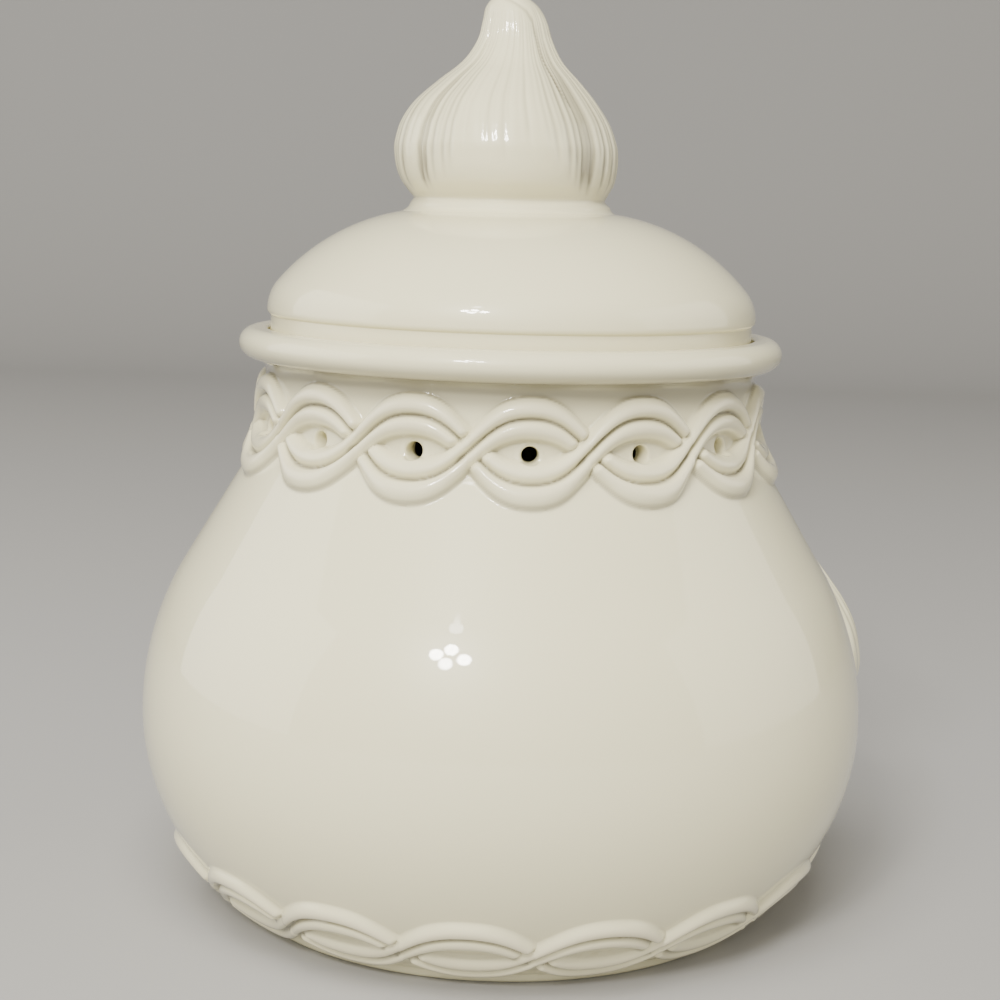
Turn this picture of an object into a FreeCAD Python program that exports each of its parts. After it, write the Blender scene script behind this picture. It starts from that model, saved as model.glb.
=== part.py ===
import FreeCAD, Part
import math
import os
import Sketcher

# Garlic keeper: a lidded, vented, pear-shaped jar in glazed earthenware. Millimetres, +Z up, with the origin
# at the centre of the foot on the table. The jar's plain front faces -Y; angles round the jar are measured
# from -Y and grow towards +X.

DOC = FreeCAD.newDocument("garlic_keeper")
SHEET = DOC.addObject("Spreadsheet::Sheet", "Sizes")

SIZES = [
    # jar wall
    ("wall", 5.0),                     # slip-cast wall
    ("foot_radius", 60.0),
    ("foot_height", 2.0),              # upright side of the foot ring
    ("foot_round", 1.0),
    ("foot_ring_width", 9.0),
    ("recess_depth", 2.6),             # hollow under the jar, inside the foot ring
    ("recess_draft", 1.2),
    ("floor_round", 6.0),              # inner corner between floor and wall
    ("belly_radius", 84.0),
    ("belly_height", 46.0),            # height of the widest place
    ("shoulder_radius", 67.0),         # arc above the widest place
    ("shoulder_angle", 31.0),          # lean of the straight shoulder, degrees from upright
    ("neck_sweep", 22.0),              # hollow arc between shoulder and neck
    ("neck_radius", 56.3),
    # rim
    ("rim_roll", 3.4),                 # radius of the rolled rim
    ("rim_overhang", 2.7),             # centre of the roll, beyond the neck's wall
    ("neck_length", 13.92),            # from the top of the sweep up to the centre of the roll
    ("rim_cove", 3.0),                 # hollow arc under the roll
    ("gallery_depth", 1.8),            # ledge for the lid, below the top of the rim
    ("gallery_lip", 0.8),
    ("gallery_inset", 0.4),            # the gallery's bore is this much inside the neck's outside
    ("mouth_round", 0.6),
    # vents, one in the middle of each eye of the neck plait
    ("vent_radius", 1.65),
    ("neck_eyes", 14),
    ("neck_eye_angle", 4.5),           # azimuth of the first eye, degrees
    # plaits
    ("strand_width", 7.8),             # two cords side by side, measured straight up the wall
    ("strand_swing", 6.9),             # from the plait's middle to the middle of a strand at its crest
    ("strand_rise", 2.7),              # cord crest above the wall where a strand passes over
    ("strand_dip", 0.4),               # height lost at the top and bottom of its swing
    ("strand_end_rise", 1.3),          # height of its blunt end, beside the strand that passes over it
    ("strand_fade", 0.3),              # share of its run over which a strand sinks to that height
    ("strand_root", 1.2),              # depth of the blank inside the wall, cut away again
    ("strand_gap", 1.3),               # between a strand's end and the strand that passes over it
    ("cord_difference", 0.15),         # the cord away from the eye is this much fuller
    ("cord_groove", 1.1),              # depth of the groove between the two cords
    ("neck_plait_drop", 3.8),          # middle of the neck plait, below the top of the neck's sweep
    ("foot_plait_height", 10.3),
    ("foot_eyes", 16),
    ("foot_eye_angle", -4.3),
    # lid
    ("lid_fit", 0.6),                  # radial clearance of the lid's band in the gallery
    ("flange_fit", 1.0),               # radial clearance of the locating flange in the mouth
    ("lid_wall", 4.5),
    ("lid_overhang", 0.8),             # the lid's widest place, beyond its band
    ("lid_widest", 6.0),               # from the ledge up to the lid's widest place
    ("lid_roll", 1.5),                 # roll under the widest place, down to the crease
    ("lid_edge", 10.0),                # arc above the widest place
    ("lid_dome", 48.0),                # arc of the dome
    ("lid_rise", 29.1),                # from the ledge up to the seat of the knob
    ("flange_wall", 4.0),
    ("flange_depth", 8.0),
    ("flange_root", 1.5),              # how far the flange's bore runs on above the ledge
    # garlic-bulb knob
    ("knob_seat_radius", 23.4),
    ("knob_foot_radius", 23.0),
    ("knob_waist_radius", 21.4),
    ("knob_waist_height", 1.8),
    ("knob_radius", 25.4),
    ("knob_widest", 13.6),             # heights are above the knob's seat
    ("knob_neck_radius", 8.5),
    ("knob_neck_height", 38.4),
    ("knob_tip_radius", 4.4),
    ("knob_height", 48.6),
    ("knob_offset", -1.6),             # the knob is luted on a little off centre
    ("knob_ribs", 18),
    ("rib_depth", 0.7),
    # garlic bulb in relief on the belly
    ("sprig_angle", 105.0),            # azimuth, degrees
    ("sprig_lift", 17.0),              # its widest place, above the widest place of the belly
    ("sprig_half_width", 19.0),
    ("sprig_rise", 6.6),
    ("sprig_base", 13.0),              # from the widest place down to the root plate
    ("sprig_crown", 20.0),             # from the widest place up to the start of the stalk
    ("sprig_stalk", 14.0),
    ("sprig_stalk_radius", 4.6),
    ("sprig_ribs", 12),
]

for row, (alias, value) in enumerate(SIZES, start=1):
    SHEET.set("A%d" % row, alias)
    SHEET.set("B%d" % row, str(value))
    SHEET.setAlias("B%d" % row, alias)
DOC.recompute()


def size(alias):
    return float(SHEET.get(alias))


# Heights and radii that follow from the driving sizes, as expressions on the sheet.
SHOULDER_TOP = "Sizes.belly_height + Sizes.shoulder_radius * sin(Sizes.shoulder_angle)"
SHOULDER_IN = ("(Sizes.belly_radius - Sizes.shoulder_radius * (1 - cos(Sizes.shoulder_angle))"
               " - Sizes.neck_radius)")
NECK_TOP = "(%s + %s / tan(Sizes.shoulder_angle) + Sizes.neck_sweep * tan(Sizes.shoulder_angle / 2))" % (
    SHOULDER_TOP, SHOULDER_IN)
ROLL = "(%s + Sizes.neck_length)" % NECK_TOP
RIM_TOP = "(%s + Sizes.rim_roll)" % ROLL
LEDGE = "(%s - Sizes.gallery_depth)" % RIM_TOP
MOUTH = "(Sizes.neck_radius - Sizes.wall)"
GALLERY = "(Sizes.neck_radius - Sizes.gallery_inset)"
BAND = "(%s - Sizes.lid_fit)" % GALLERY
FLANGE = "(%s - Sizes.flange_fit)" % MOUTH
FLOOR = "(Sizes.recess_depth + Sizes.wall)"
KNOB_SEAT = "(%s + Sizes.lid_rise)" % LEDGE
VENT = "(%s - Sizes.neck_plait_drop)" % NECK_TOP


class Outline:
    """A closed sketch on a body's XZ plane: x is the radius and y the height."""

    def __init__(self, body, name):
        self.sketch = body.newObject("Sketcher::SketchObject", name)
        plane = [f for f in body.Origin.OriginFeatures if f.Role == "XZ_Plane"][0]
        self.sketch.AttachmentSupport = [(plane, "")]
        self.sketch.MapMode = "FlatFace"

    def line(self, x0, y0, x1, y1):
        start = FreeCAD.Vector(x0, y0, 0)
        end = FreeCAD.Vector(x1, y1, 0)
        return self.sketch.addGeometry(Part.LineSegment(start, end), False)

    def arc(self, x, y, radius, first, last):
        circle = Part.Circle(FreeCAD.Vector(x, y, 0), FreeCAD.Vector(0, 0, 1), radius)
        span = Part.ArcOfCircle(circle, math.radians(first), math.radians(last))
        return self.sketch.addGeometry(span, False)

    def join(self, *ends):
        # ends are (edge, point) pairs, two by two; point 1 is an edge's start and 2 its end
        for (a, pa), (b, pb) in zip(ends[::2], ends[1::2]):
            self.sketch.addConstraint(Sketcher.Constraint("Coincident", a, pa, b, pb))

    def smooth(self, *ends):
        for (a, pa), (b, pb) in zip(ends[::2], ends[1::2]):
            self.sketch.addConstraint(Sketcher.Constraint("Tangent", a, pa, b, pb))

    def level(self, *edges):
        for edge in edges:
            self.sketch.addConstraint(Sketcher.Constraint("Horizontal", edge))

    def upright(self, *edges):
        for edge in edges:
            self.sketch.addConstraint(Sketcher.Constraint("Vertical", edge))

    def on_axis(self, edge, point):
        self.sketch.addConstraint(Sketcher.Constraint("PointOnObject", edge, point, -2))

    def bind(self, constraint, formula):
        index = self.sketch.addConstraint(constraint)
        self.sketch.setExpression("Constraints[%d]" % index, formula)

    def across(self, edge, point, formula):
        x = self.sketch.getPoint(edge, point).x
        self.bind(Sketcher.Constraint("DistanceX", -1, 1, edge, point, x), formula)

    def up(self, edge, point, formula):
        y = self.sketch.getPoint(edge, point).y
        self.bind(Sketcher.Constraint("DistanceY", -1, 1, edge, point, y), formula)

    def radius(self, edge, formula):
        value = self.sketch.Geometry[edge].Radius
        self.bind(Sketcher.Constraint("Radius", edge, value), formula)


def wall_arcs(inset):
    """Centres, radii and joints of the jar wall's chain of arcs, moved inwards by inset."""
    belly = size("belly_radius")
    height = size("belly_height")
    rise = height - size("foot_height")
    reach = belly - size("foot_radius")
    lower = (rise ** 2 + reach ** 2) / (2 * reach)
    lean = math.radians(size("shoulder_angle"))
    shoulder = size("shoulder_radius")
    sweep = size("neck_sweep")
    neck = size("neck_radius")
    top_r = belly - shoulder * (1 - math.cos(lean))
    top_z = height + shoulder * math.sin(lean)
    corner_z = top_z + (top_r - neck) / math.tan(lean)
    run = sweep * math.tan(lean / 2)
    return {
        "lower_x": belly - lower,
        "lower": lower - inset,
        "shoulder_x": belly - shoulder,
        "shoulder": shoulder - inset,
        "mid_z": height,
        "sweep_x": neck + sweep,
        "sweep_z": corner_z + run,
        "sweep": sweep + inset,
        "neck": neck - inset,
        "lean": size("shoulder_angle"),
    }


neck_top = wall_arcs(0.0)["sweep_z"]
roll_height = neck_top + size("neck_length")
rim_top = roll_height + size("rim_roll")
ledge = rim_top - size("gallery_depth")
knob_seat = ledge + size("lid_rise")
gallery_radius = size("neck_radius") - size("gallery_inset")
band_radius = gallery_radius - size("lid_fit")


def wall_chain(outline, inset, inset_formula):
    """Adds lower belly, shoulder, cone and neck sweep; returns their edges, bottom to top."""
    w = wall_arcs(inset)
    lean = math.radians(w["lean"])
    bottom = size("foot_height") if inset == 0 else size("recess_depth") + size("wall") + size("floor_round")
    if inset == 0:
        first = -math.degrees(math.asin((w["mid_z"] - bottom) / w["lower"]))
    else:
        first = -math.degrees(math.asin((w["mid_z"] - bottom) / (w["lower"] - size("floor_round"))))
    lower = outline.arc(w["lower_x"], w["mid_z"], w["lower"], first, 0)
    shoulder = outline.arc(w["shoulder_x"], w["mid_z"], w["shoulder"], 0, w["lean"])
    start = (w["shoulder_x"] + w["shoulder"] * math.cos(lean), w["mid_z"] + w["shoulder"] * math.sin(lean))
    end = (w["sweep_x"] - w["sweep"] * math.cos(lean), w["sweep_z"] - w["sweep"] * math.sin(lean))
    cone = outline.line(start[0], start[1], end[0], end[1])
    sweep = outline.arc(w["sweep_x"], w["sweep_z"], w["sweep"], 180, 180 + w["lean"])
    outline.smooth((lower, 2), (shoulder, 1), (shoulder, 2), (cone, 1), (cone, 2), (sweep, 2))
    outline.across(lower, 2, "Sizes.belly_radius - %s" % inset_formula)
    outline.up(lower, 2, "Sizes.belly_height")
    outline.up(lower, 3, "Sizes.belly_height")
    outline.radius(shoulder, "Sizes.shoulder_radius - %s" % inset_formula)
    outline.radius(sweep, "Sizes.neck_sweep + %s" % inset_formula)
    upright = Sketcher.Constraint("Angle", cone, math.radians(90 + w["lean"]))
    outline.bind(upright, "90 + Sizes.shoulder_angle")
    return lower, shoulder, cone, sweep


def revolve(body, kind, name, outline, axis=None):
    feature = body.newObject(kind, name)
    feature.Profile = outline.sketch
    if axis is None:
        feature.ReferenceAxis = (outline.sketch, ["V_Axis"])
    else:
        feature.ReferenceAxis = (outline.sketch, [axis])
    feature.Angle = 360
    outline.sketch.Visibility = False
    DOC.recompute()
    return feature


# ---------------------------------------------------------------- jar

def jar_blank(body):
    """The jar's outside, solid to the top of the rim."""
    foot = size("foot_radius")
    soft = size("foot_round")
    rise = size("foot_height")
    w = wall_arcs(0.0)
    neck = size("neck_radius")
    roll = size("rim_roll")
    roll_x = neck + size("rim_overhang")
    roll_z = roll_height
    cove = size("rim_cove")
    cove_x = neck + cove
    cove_z = roll_z - math.sqrt((roll + cove) ** 2 - (cove_x - roll_x) ** 2)
    meet = math.degrees(math.atan2(roll_z - cove_z, roll_x - cove_x))

    o = Outline(body, "jar_outside_sketch")
    base = o.line(0, 0, foot - soft, 0)
    edge = o.arc(foot - soft, soft, soft, -90, 0)
    side = o.line(foot, soft, foot, rise)
    lower, shoulder, cone, sweep = wall_chain(o, 0.0, "0")
    neck_side = o.line(neck, w["sweep_z"], neck, cove_z)
    hollow = o.arc(cove_x, cove_z, cove, meet, 180)
    rim = o.arc(roll_x, roll_z, roll, meet - 180, 90)
    top = o.line(roll_x, rim_top, 0, rim_top)
    axis = o.line(0, rim_top, 0, 0)
    o.join((side, 2), (lower, 1), (top, 2), (axis, 1), (axis, 2), (base, 1), (base, 1), (-1, 1))
    o.smooth((base, 2), (edge, 1), (edge, 2), (side, 1), (sweep, 1), (neck_side, 1),
             (neck_side, 2), (hollow, 2), (hollow, 1), (rim, 1), (rim, 2), (top, 1))
    o.level(base, top)
    o.upright(side, neck_side, axis)
    o.across(side, 1, "Sizes.foot_radius")
    o.radius(edge, "Sizes.foot_round")
    o.up(side, 2, "Sizes.foot_height")
    o.across(neck_side, 1, "Sizes.neck_radius")
    o.radius(hollow, "Sizes.rim_cove")
    o.across(rim, 3, "Sizes.neck_radius + Sizes.rim_overhang")
    o.up(rim, 3, ROLL)
    o.radius(rim, "Sizes.rim_roll")
    return revolve(body, "PartDesign::Revolution", "jar_outside", o)


def jar_cavity(body):
    """The inside: gallery for the lid, mouth, inner wall and floor."""
    wall = size("wall")
    lip = size("gallery_lip")
    soft = size("mouth_round")
    corner = size("floor_round")
    floor = size("recess_depth") + wall
    gallery = gallery_radius
    mouth = size("neck_radius") - wall
    w = wall_arcs(wall)
    drop = w["mid_z"] - floor - corner
    corner_x = w["lower_x"] + math.sqrt((w["lower"] - corner) ** 2 - drop ** 2)
    first = -math.degrees(math.asin(drop / (w["lower"] - corner)))

    o = Outline(body, "jar_inside_sketch")
    bottom = o.line(0, floor, corner_x, floor)
    fillet = o.arc(corner_x, floor + corner, corner, -90, first)
    lower, shoulder, cone, sweep = wall_chain(o, wall, "Sizes.wall")
    bore = o.line(mouth, w["sweep_z"], mouth, ledge - soft)
    mouth_edge = o.arc(mouth + soft, ledge - soft, soft, 90, 180)
    shelf = o.line(mouth + soft, ledge, gallery, ledge)
    guard = o.line(gallery, ledge, gallery, rim_top - lip)
    lip_edge = o.arc(gallery + lip, rim_top - lip, lip, 90, 180)
    top = o.line(gallery + lip, rim_top, 0, rim_top)
    axis = o.line(0, rim_top, 0, floor)
    o.join((shelf, 2), (guard, 1), (top, 2), (axis, 1), (axis, 2), (bottom, 1))
    o.smooth((bottom, 2), (fillet, 1), (fillet, 2), (lower, 1), (sweep, 1), (bore, 1),
             (bore, 2), (mouth_edge, 2), (mouth_edge, 1), (shelf, 1), (guard, 2), (lip_edge, 2),
             (lip_edge, 1), (top, 1))
    o.on_axis(bottom, 1)
    o.level(bottom, shelf, top)
    o.upright(bore, guard, axis)
    o.up(bottom, 1, FLOOR)
    o.radius(fillet, "Sizes.floor_round")
    lower_formula = ("((Sizes.belly_height - Sizes.foot_height)^2"
                     " + (Sizes.belly_radius - Sizes.foot_radius)^2)"
                     " / (2 * (Sizes.belly_radius - Sizes.foot_radius)) - Sizes.wall")
    o.radius(lower, lower_formula)
    o.across(bore, 1, MOUTH)
    o.radius(mouth_edge, "Sizes.mouth_round")
    o.up(shelf, 2, LEDGE)
    o.across(shelf, 2, GALLERY)
    o.radius(lip_edge, "Sizes.gallery_lip")
    o.up(top, 1, RIM_TOP)
    return revolve(body, "PartDesign::Groove", "jar_inside", o)


def jar_recess(body):
    """The shallow hollow under the floor that leaves the foot ring."""
    inner = size("foot_radius") - size("foot_ring_width")
    deep = size("recess_depth")
    draft = size("recess_draft")
    o = Outline(body, "recess_sketch")
    base = o.line(0, 0, inner, 0)
    slope = o.line(inner, 0, inner - draft, deep)
    roof = o.line(inner - draft, deep, 0, deep)
    axis = o.line(0, deep, 0, 0)
    o.join((base, 2), (slope, 1), (slope, 2), (roof, 1), (roof, 2), (axis, 1), (axis, 2), (base, 1),
           (base, 1), (-1, 1))
    o.level(base, roof)
    o.upright(axis)
    o.across(base, 2, "Sizes.foot_radius - Sizes.foot_ring_width")
    o.across(slope, 2, "Sizes.foot_radius - Sizes.foot_ring_width - Sizes.recess_draft")
    o.up(slope, 2, "Sizes.recess_depth")
    return revolve(body, "PartDesign::Groove", "foot_recess", o)


def jar_vents(body):
    """One vent through the neck wall, repeated in each eye of the plait."""
    radius = size("vent_radius")
    height = neck_top - size("neck_plait_drop")
    start = size("neck_radius") - 2 * size("wall")
    mouth = size("neck_radius") + size("wall")
    o = Outline(body, "vent_sketch")
    centre = o.line(start, height, mouth, height)
    inner = o.line(start, height + radius, start, height)
    bore = o.line(mouth, height + radius, start, height + radius)
    outer = o.line(mouth, height, mouth, height + radius)
    spindle = o.line(start, height, mouth, height)
    o.sketch.setConstruction(spindle, True)
    o.join((centre, 2), (outer, 1), (outer, 2), (bore, 1), (bore, 2), (inner, 1),
           (inner, 2), (centre, 1), (spindle, 1), (centre, 1), (spindle, 2), (centre, 2))
    o.level(centre, bore)
    o.upright(inner, outer)
    o.up(centre, 1, VENT)
    o.across(centre, 1, "Sizes.neck_radius - 2 * Sizes.wall")
    o.across(centre, 2, "Sizes.neck_radius + Sizes.wall")
    o.up(bore, 1, VENT + " + Sizes.vent_radius")
    vent = revolve(body, "PartDesign::Groove", "vent", o, axis="Axis0")
    ring = body.newObject("PartDesign::PolarPattern", "vent_ring")
    ring.Originals = [vent]
    ring.Axis = ([f for f in body.Origin.OriginFeatures if f.Role == "Z_Axis"][0], [""])
    ring.Angle = 360
    ring.setExpression("Occurrences", "Sizes.neck_eyes")
    body.Tip = ring
    DOC.recompute()
    return ring


def turn_about_z(thing, formula):
    thing.Placement = FreeCAD.Placement(FreeCAD.Vector(), FreeCAD.Rotation(FreeCAD.Vector(0, 0, 1), 1.0))
    thing.setExpression("Placement.Rotation.Angle", formula)


jar = DOC.addObject("PartDesign::Body", "jar")
jar.Label = "jar"
outside = jar_blank(jar)
core = outside.Shape.copy()
core.rotate(FreeCAD.Vector(), FreeCAD.Vector(0, 0, 1), 180)   # its seam away from what is cut to the wall
jar_cavity(jar)
jar_recess(jar)
jar_vents(jar)
turn_about_z(jar, "Sizes.neck_eye_angle - 90")


# ---------------------------------------------------------------- plaits

def neck_wall(v):
    """Radius and height of the neck wall's outside, v above the middle of the neck plait."""
    w = wall_arcs(0.0)
    z = neck_top - size("neck_plait_drop") + v
    lean = math.radians(w["lean"])
    low = w["sweep_z"] - w["sweep"] * math.sin(lean)
    if z >= w["sweep_z"]:
        return w["neck"], z
    if z >= low:
        return w["sweep_x"] - math.sqrt(w["sweep"] ** 2 - (w["sweep_z"] - z) ** 2), z
    edge = w["sweep_x"] - w["sweep"] * math.cos(lean)
    return edge + (low - z) * math.tan(lean), z


def foot_wall(v):
    """Radius and height on the lower belly's arc, v along the wall above the middle of the foot plait."""
    w = wall_arcs(0.0)
    middle = math.asin((w["mid_z"] - size("foot_plait_height")) / w["lower"])
    angle = middle - v / w["lower"]
    return w["lower_x"] + w["lower"] * math.cos(angle), w["mid_z"] - w["lower"] * math.sin(angle)


def wall_frame(wall, turn, v):
    """Point on the wall and its outward normal, at an angle round the jar."""
    step = 0.01
    r, z = wall(v)
    r_up, z_up = wall(v + step)
    run = math.hypot(r_up - r, z_up - z)
    out_r, out_z = (z_up - z) / run, (r - r_up) / run
    round_jar = FreeCAD.Vector(math.cos(turn), math.sin(turn), 0)
    return round_jar * r + FreeCAD.Vector(0, 0, z), round_jar * out_r + FreeCAD.Vector(0, 0, out_z)


def strand_section(wall, eyes, phase, end_phase):
    """Outline of a strand, two cords side by side, where it has run through phase of its swing."""
    swing = size("strand_swing")
    step = 0.002

    def place(p):
        return wall_frame(wall, 2 * p / eyes, swing * math.sin(p))

    point, normal = place(phase)
    ahead, _ = place(phase + step)
    behind, _ = place(phase - step)
    along = (ahead - behind).normalize()
    side = normal.cross(along).normalize()

    slope = swing * eyes / 2 / wall(0.0)[0] * math.cos(phase)
    half = size("strand_width") / 2 / math.hypot(1, slope)
    shift = size("cord_difference") * math.sin(phase)
    groove = -2 * shift
    fade = min(1.0, (end_phase - abs(phase)) / (end_phase * size("strand_fade")))
    fade = fade * fade * (3 - 2 * fade)
    full = size("strand_rise") - size("strand_dip") * math.sin(phase) ** 2
    crest = size("strand_end_rise") + (full - size("strand_end_rise")) * fade
    valley = crest - size("cord_groove") * (0.3 + 0.7 * fade)
    root = -size("strand_root")

    def at(w, rise):
        return point + side * w + normal * rise

    upper = (half + groove) / 2
    lower = (groove - half) / 2
    base = Part.LineSegment(at(-half, root), at(half, root)).toShape()
    over = Part.Arc(at(half, root), at(upper, crest), at(groove, valley)).toShape()
    under = Part.Arc(at(groove, valley), at(lower, crest), at(-half, root)).toShape()
    return Part.Wire([base, over, under])


def plait(wall, eyes):
    """All strands of a plait: each rises from under one eye, passes over its neighbour and ends above the
    next eye, where the following strand passes over it. The strands are cut to the jar's wall."""
    swing = size("strand_swing")
    radius = wall(0.0)[0]
    climb = math.atan(swing * eyes / 2 / radius)
    # both strands lean by climb where they cross, so the end's corner comes nearer than its middle
    half = size("strand_width") / 2 * math.cos(climb)
    hidden = half * (1 + abs(math.cos(2 * climb))) + size("strand_gap")
    end_phase = math.pi - hidden / (2 * math.sin(climb)) * eyes / 2 / radius
    stations = 13
    phases = [end_phase * (2 * i / (stations - 1) - 1) for i in range(stations)]
    blank = Part.makeLoft([strand_section(wall, eyes, p, end_phase) for p in phases], True, False)
    strand = blank.cut(core).Solids[0]
    pitch = 360.0 / eyes
    strands = []
    for k in range(eyes):
        copy = strand.copy()
        copy.rotate(FreeCAD.Vector(), FreeCAD.Vector(0, 0, 1), (k + 0.5) * pitch)
        strands.append(copy)
    return Part.makeCompound(strands)


neck_braid = DOC.addObject("Part::Feature", "neck_braid")
neck_braid.Label = "neck_braid"
neck_braid.Shape = plait(neck_wall, int(size("neck_eyes")))
turn_about_z(neck_braid, "Sizes.neck_eye_angle - 90")

foot_braid = DOC.addObject("Part::Feature", "foot_braid")
foot_braid.Label = "foot_braid"
foot_braid.Shape = plait(foot_wall, int(size("foot_eyes")))
turn_about_z(foot_braid, "Sizes.foot_eye_angle - 90")


# ---------------------------------------------------------------- garlic bulbs

def ribbed_ring(centre, across, outward, half_width, half_depth, ribs, depth):
    """Closed smooth outline with rounded ribs and narrow furrows between them."""
    points = []
    for i in range(2 * ribs):
        angle = math.pi * i / ribs
        sink = 1 - (depth if i % 2 else 0) / max(half_width, half_depth)
        points.append(centre + across * (half_width * sink * math.cos(angle))
                      + outward * (half_depth * sink * math.sin(angle)))
    curve = Part.BSplineCurve()
    curve.interpolate(Points=points, PeriodicFlag=True)
    return Part.Wire([curve.toShape()])


def knob_shape():
    """The garlic head: foot, waist, bulge, hollow shoulder, stalk and rounded tip."""
    widest = size("knob_widest")
    neck = size("knob_neck_height")
    bulge = size("knob_radius")
    stalk = size("knob_neck_radius")
    waist = size("knob_waist_radius")
    waist_z = size("knob_waist_height")
    tip = size("knob_tip_radius")
    top = size("knob_height")
    stations = [
        (0.0, size("knob_foot_radius")),
        (waist_z, waist),
        (waist_z + (widest - waist_z) * 0.42, waist + (bulge - waist) * 0.72),
        (widest, bulge),
        (widest + (neck - widest) * 0.28, stalk + (bulge - stalk) * 0.88),
        (widest + (neck - widest) * 0.62, stalk + (bulge - stalk) * 0.49),
        (widest + (neck - widest) * 0.83, stalk + (bulge - stalk) * 0.17),
        (neck, stalk),
        (neck + (top - neck) * 0.5, (stalk + tip) / 2 + 0.6),
        (neck + (top - neck) * 0.82, tip),
        (top, tip * 0.4),
    ]
    ribs = int(size("knob_ribs"))
    rings = []
    for z, radius in stations:
        shallow = z < waist_z + 0.1 or z > neck
        depth = size("rib_depth") * min(1.0, radius / bulge) * (0.25 if shallow else 1.0)
        centre = FreeCAD.Vector(0, 0, z)
        rings.append(ribbed_ring(centre, FreeCAD.Vector(1, 0, 0), FreeCAD.Vector(0, 1, 0),
                                 radius, radius, ribs, depth))
    return Part.makeLoft(rings, True, False)


def sprig_shape():
    """Half a garlic head lying on the belly, root plate down and stalk up, cut to the jar's wall."""
    w = wall_arcs(0.0)
    middle_z = w["mid_z"] + size("sprig_lift")
    angle = math.asin((middle_z - w["mid_z"]) / w["shoulder"])
    middle_r = w["shoulder_x"] + w["shoulder"] * math.cos(angle)
    half = size("sprig_half_width")
    rise = size("sprig_rise")
    down = size("sprig_base")
    crown = size("sprig_crown")
    stalk = size("sprig_stalk")
    stalk_r = size("sprig_stalk_radius")
    stations = [
        (-down, half * 0.42, rise * 0.35),
        (-down * 0.72, half * 0.76, rise * 0.72),
        (-down * 0.35, half * 0.95, rise * 0.94),
        (0.0, half, rise),
        (crown * 0.4, half * 0.82, rise * 0.88),
        (crown * 0.75, half * 0.5, rise * 0.66),
        (crown, half * 0.3, rise * 0.5),
        (crown + stalk * 0.5, stalk_r, rise * 0.42),
        (crown + stalk, stalk_r * 0.9, rise * 0.36),
    ]
    ribs = int(size("sprig_ribs"))
    rings = []
    for v, half_width, height in stations:
        # each ring stands square to the wall that it lies on
        lean = angle + v / w["shoulder"]
        out = FreeCAD.Vector(math.cos(lean), 0, math.sin(lean))
        centre = FreeCAD.Vector(w["shoulder_x"], 0, w["mid_z"]) + out * w["shoulder"]
        depth = size("rib_depth") * min(1.0, half_width / half)
        rings.append(ribbed_ring(centre, FreeCAD.Vector(0, 1, 0), out, half_width, height, ribs, depth))
    blank = Part.makeLoft(rings, True, False)
    return blank.cut(core).Solids[0]


sprig = DOC.addObject("Part::Feature", "garlic_sprig")
sprig.Label = "garlic_sprig"
sprig.Shape = sprig_shape()
turn_about_z(sprig, "Sizes.sprig_angle - 90")


# ---------------------------------------------------------------- lid

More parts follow.
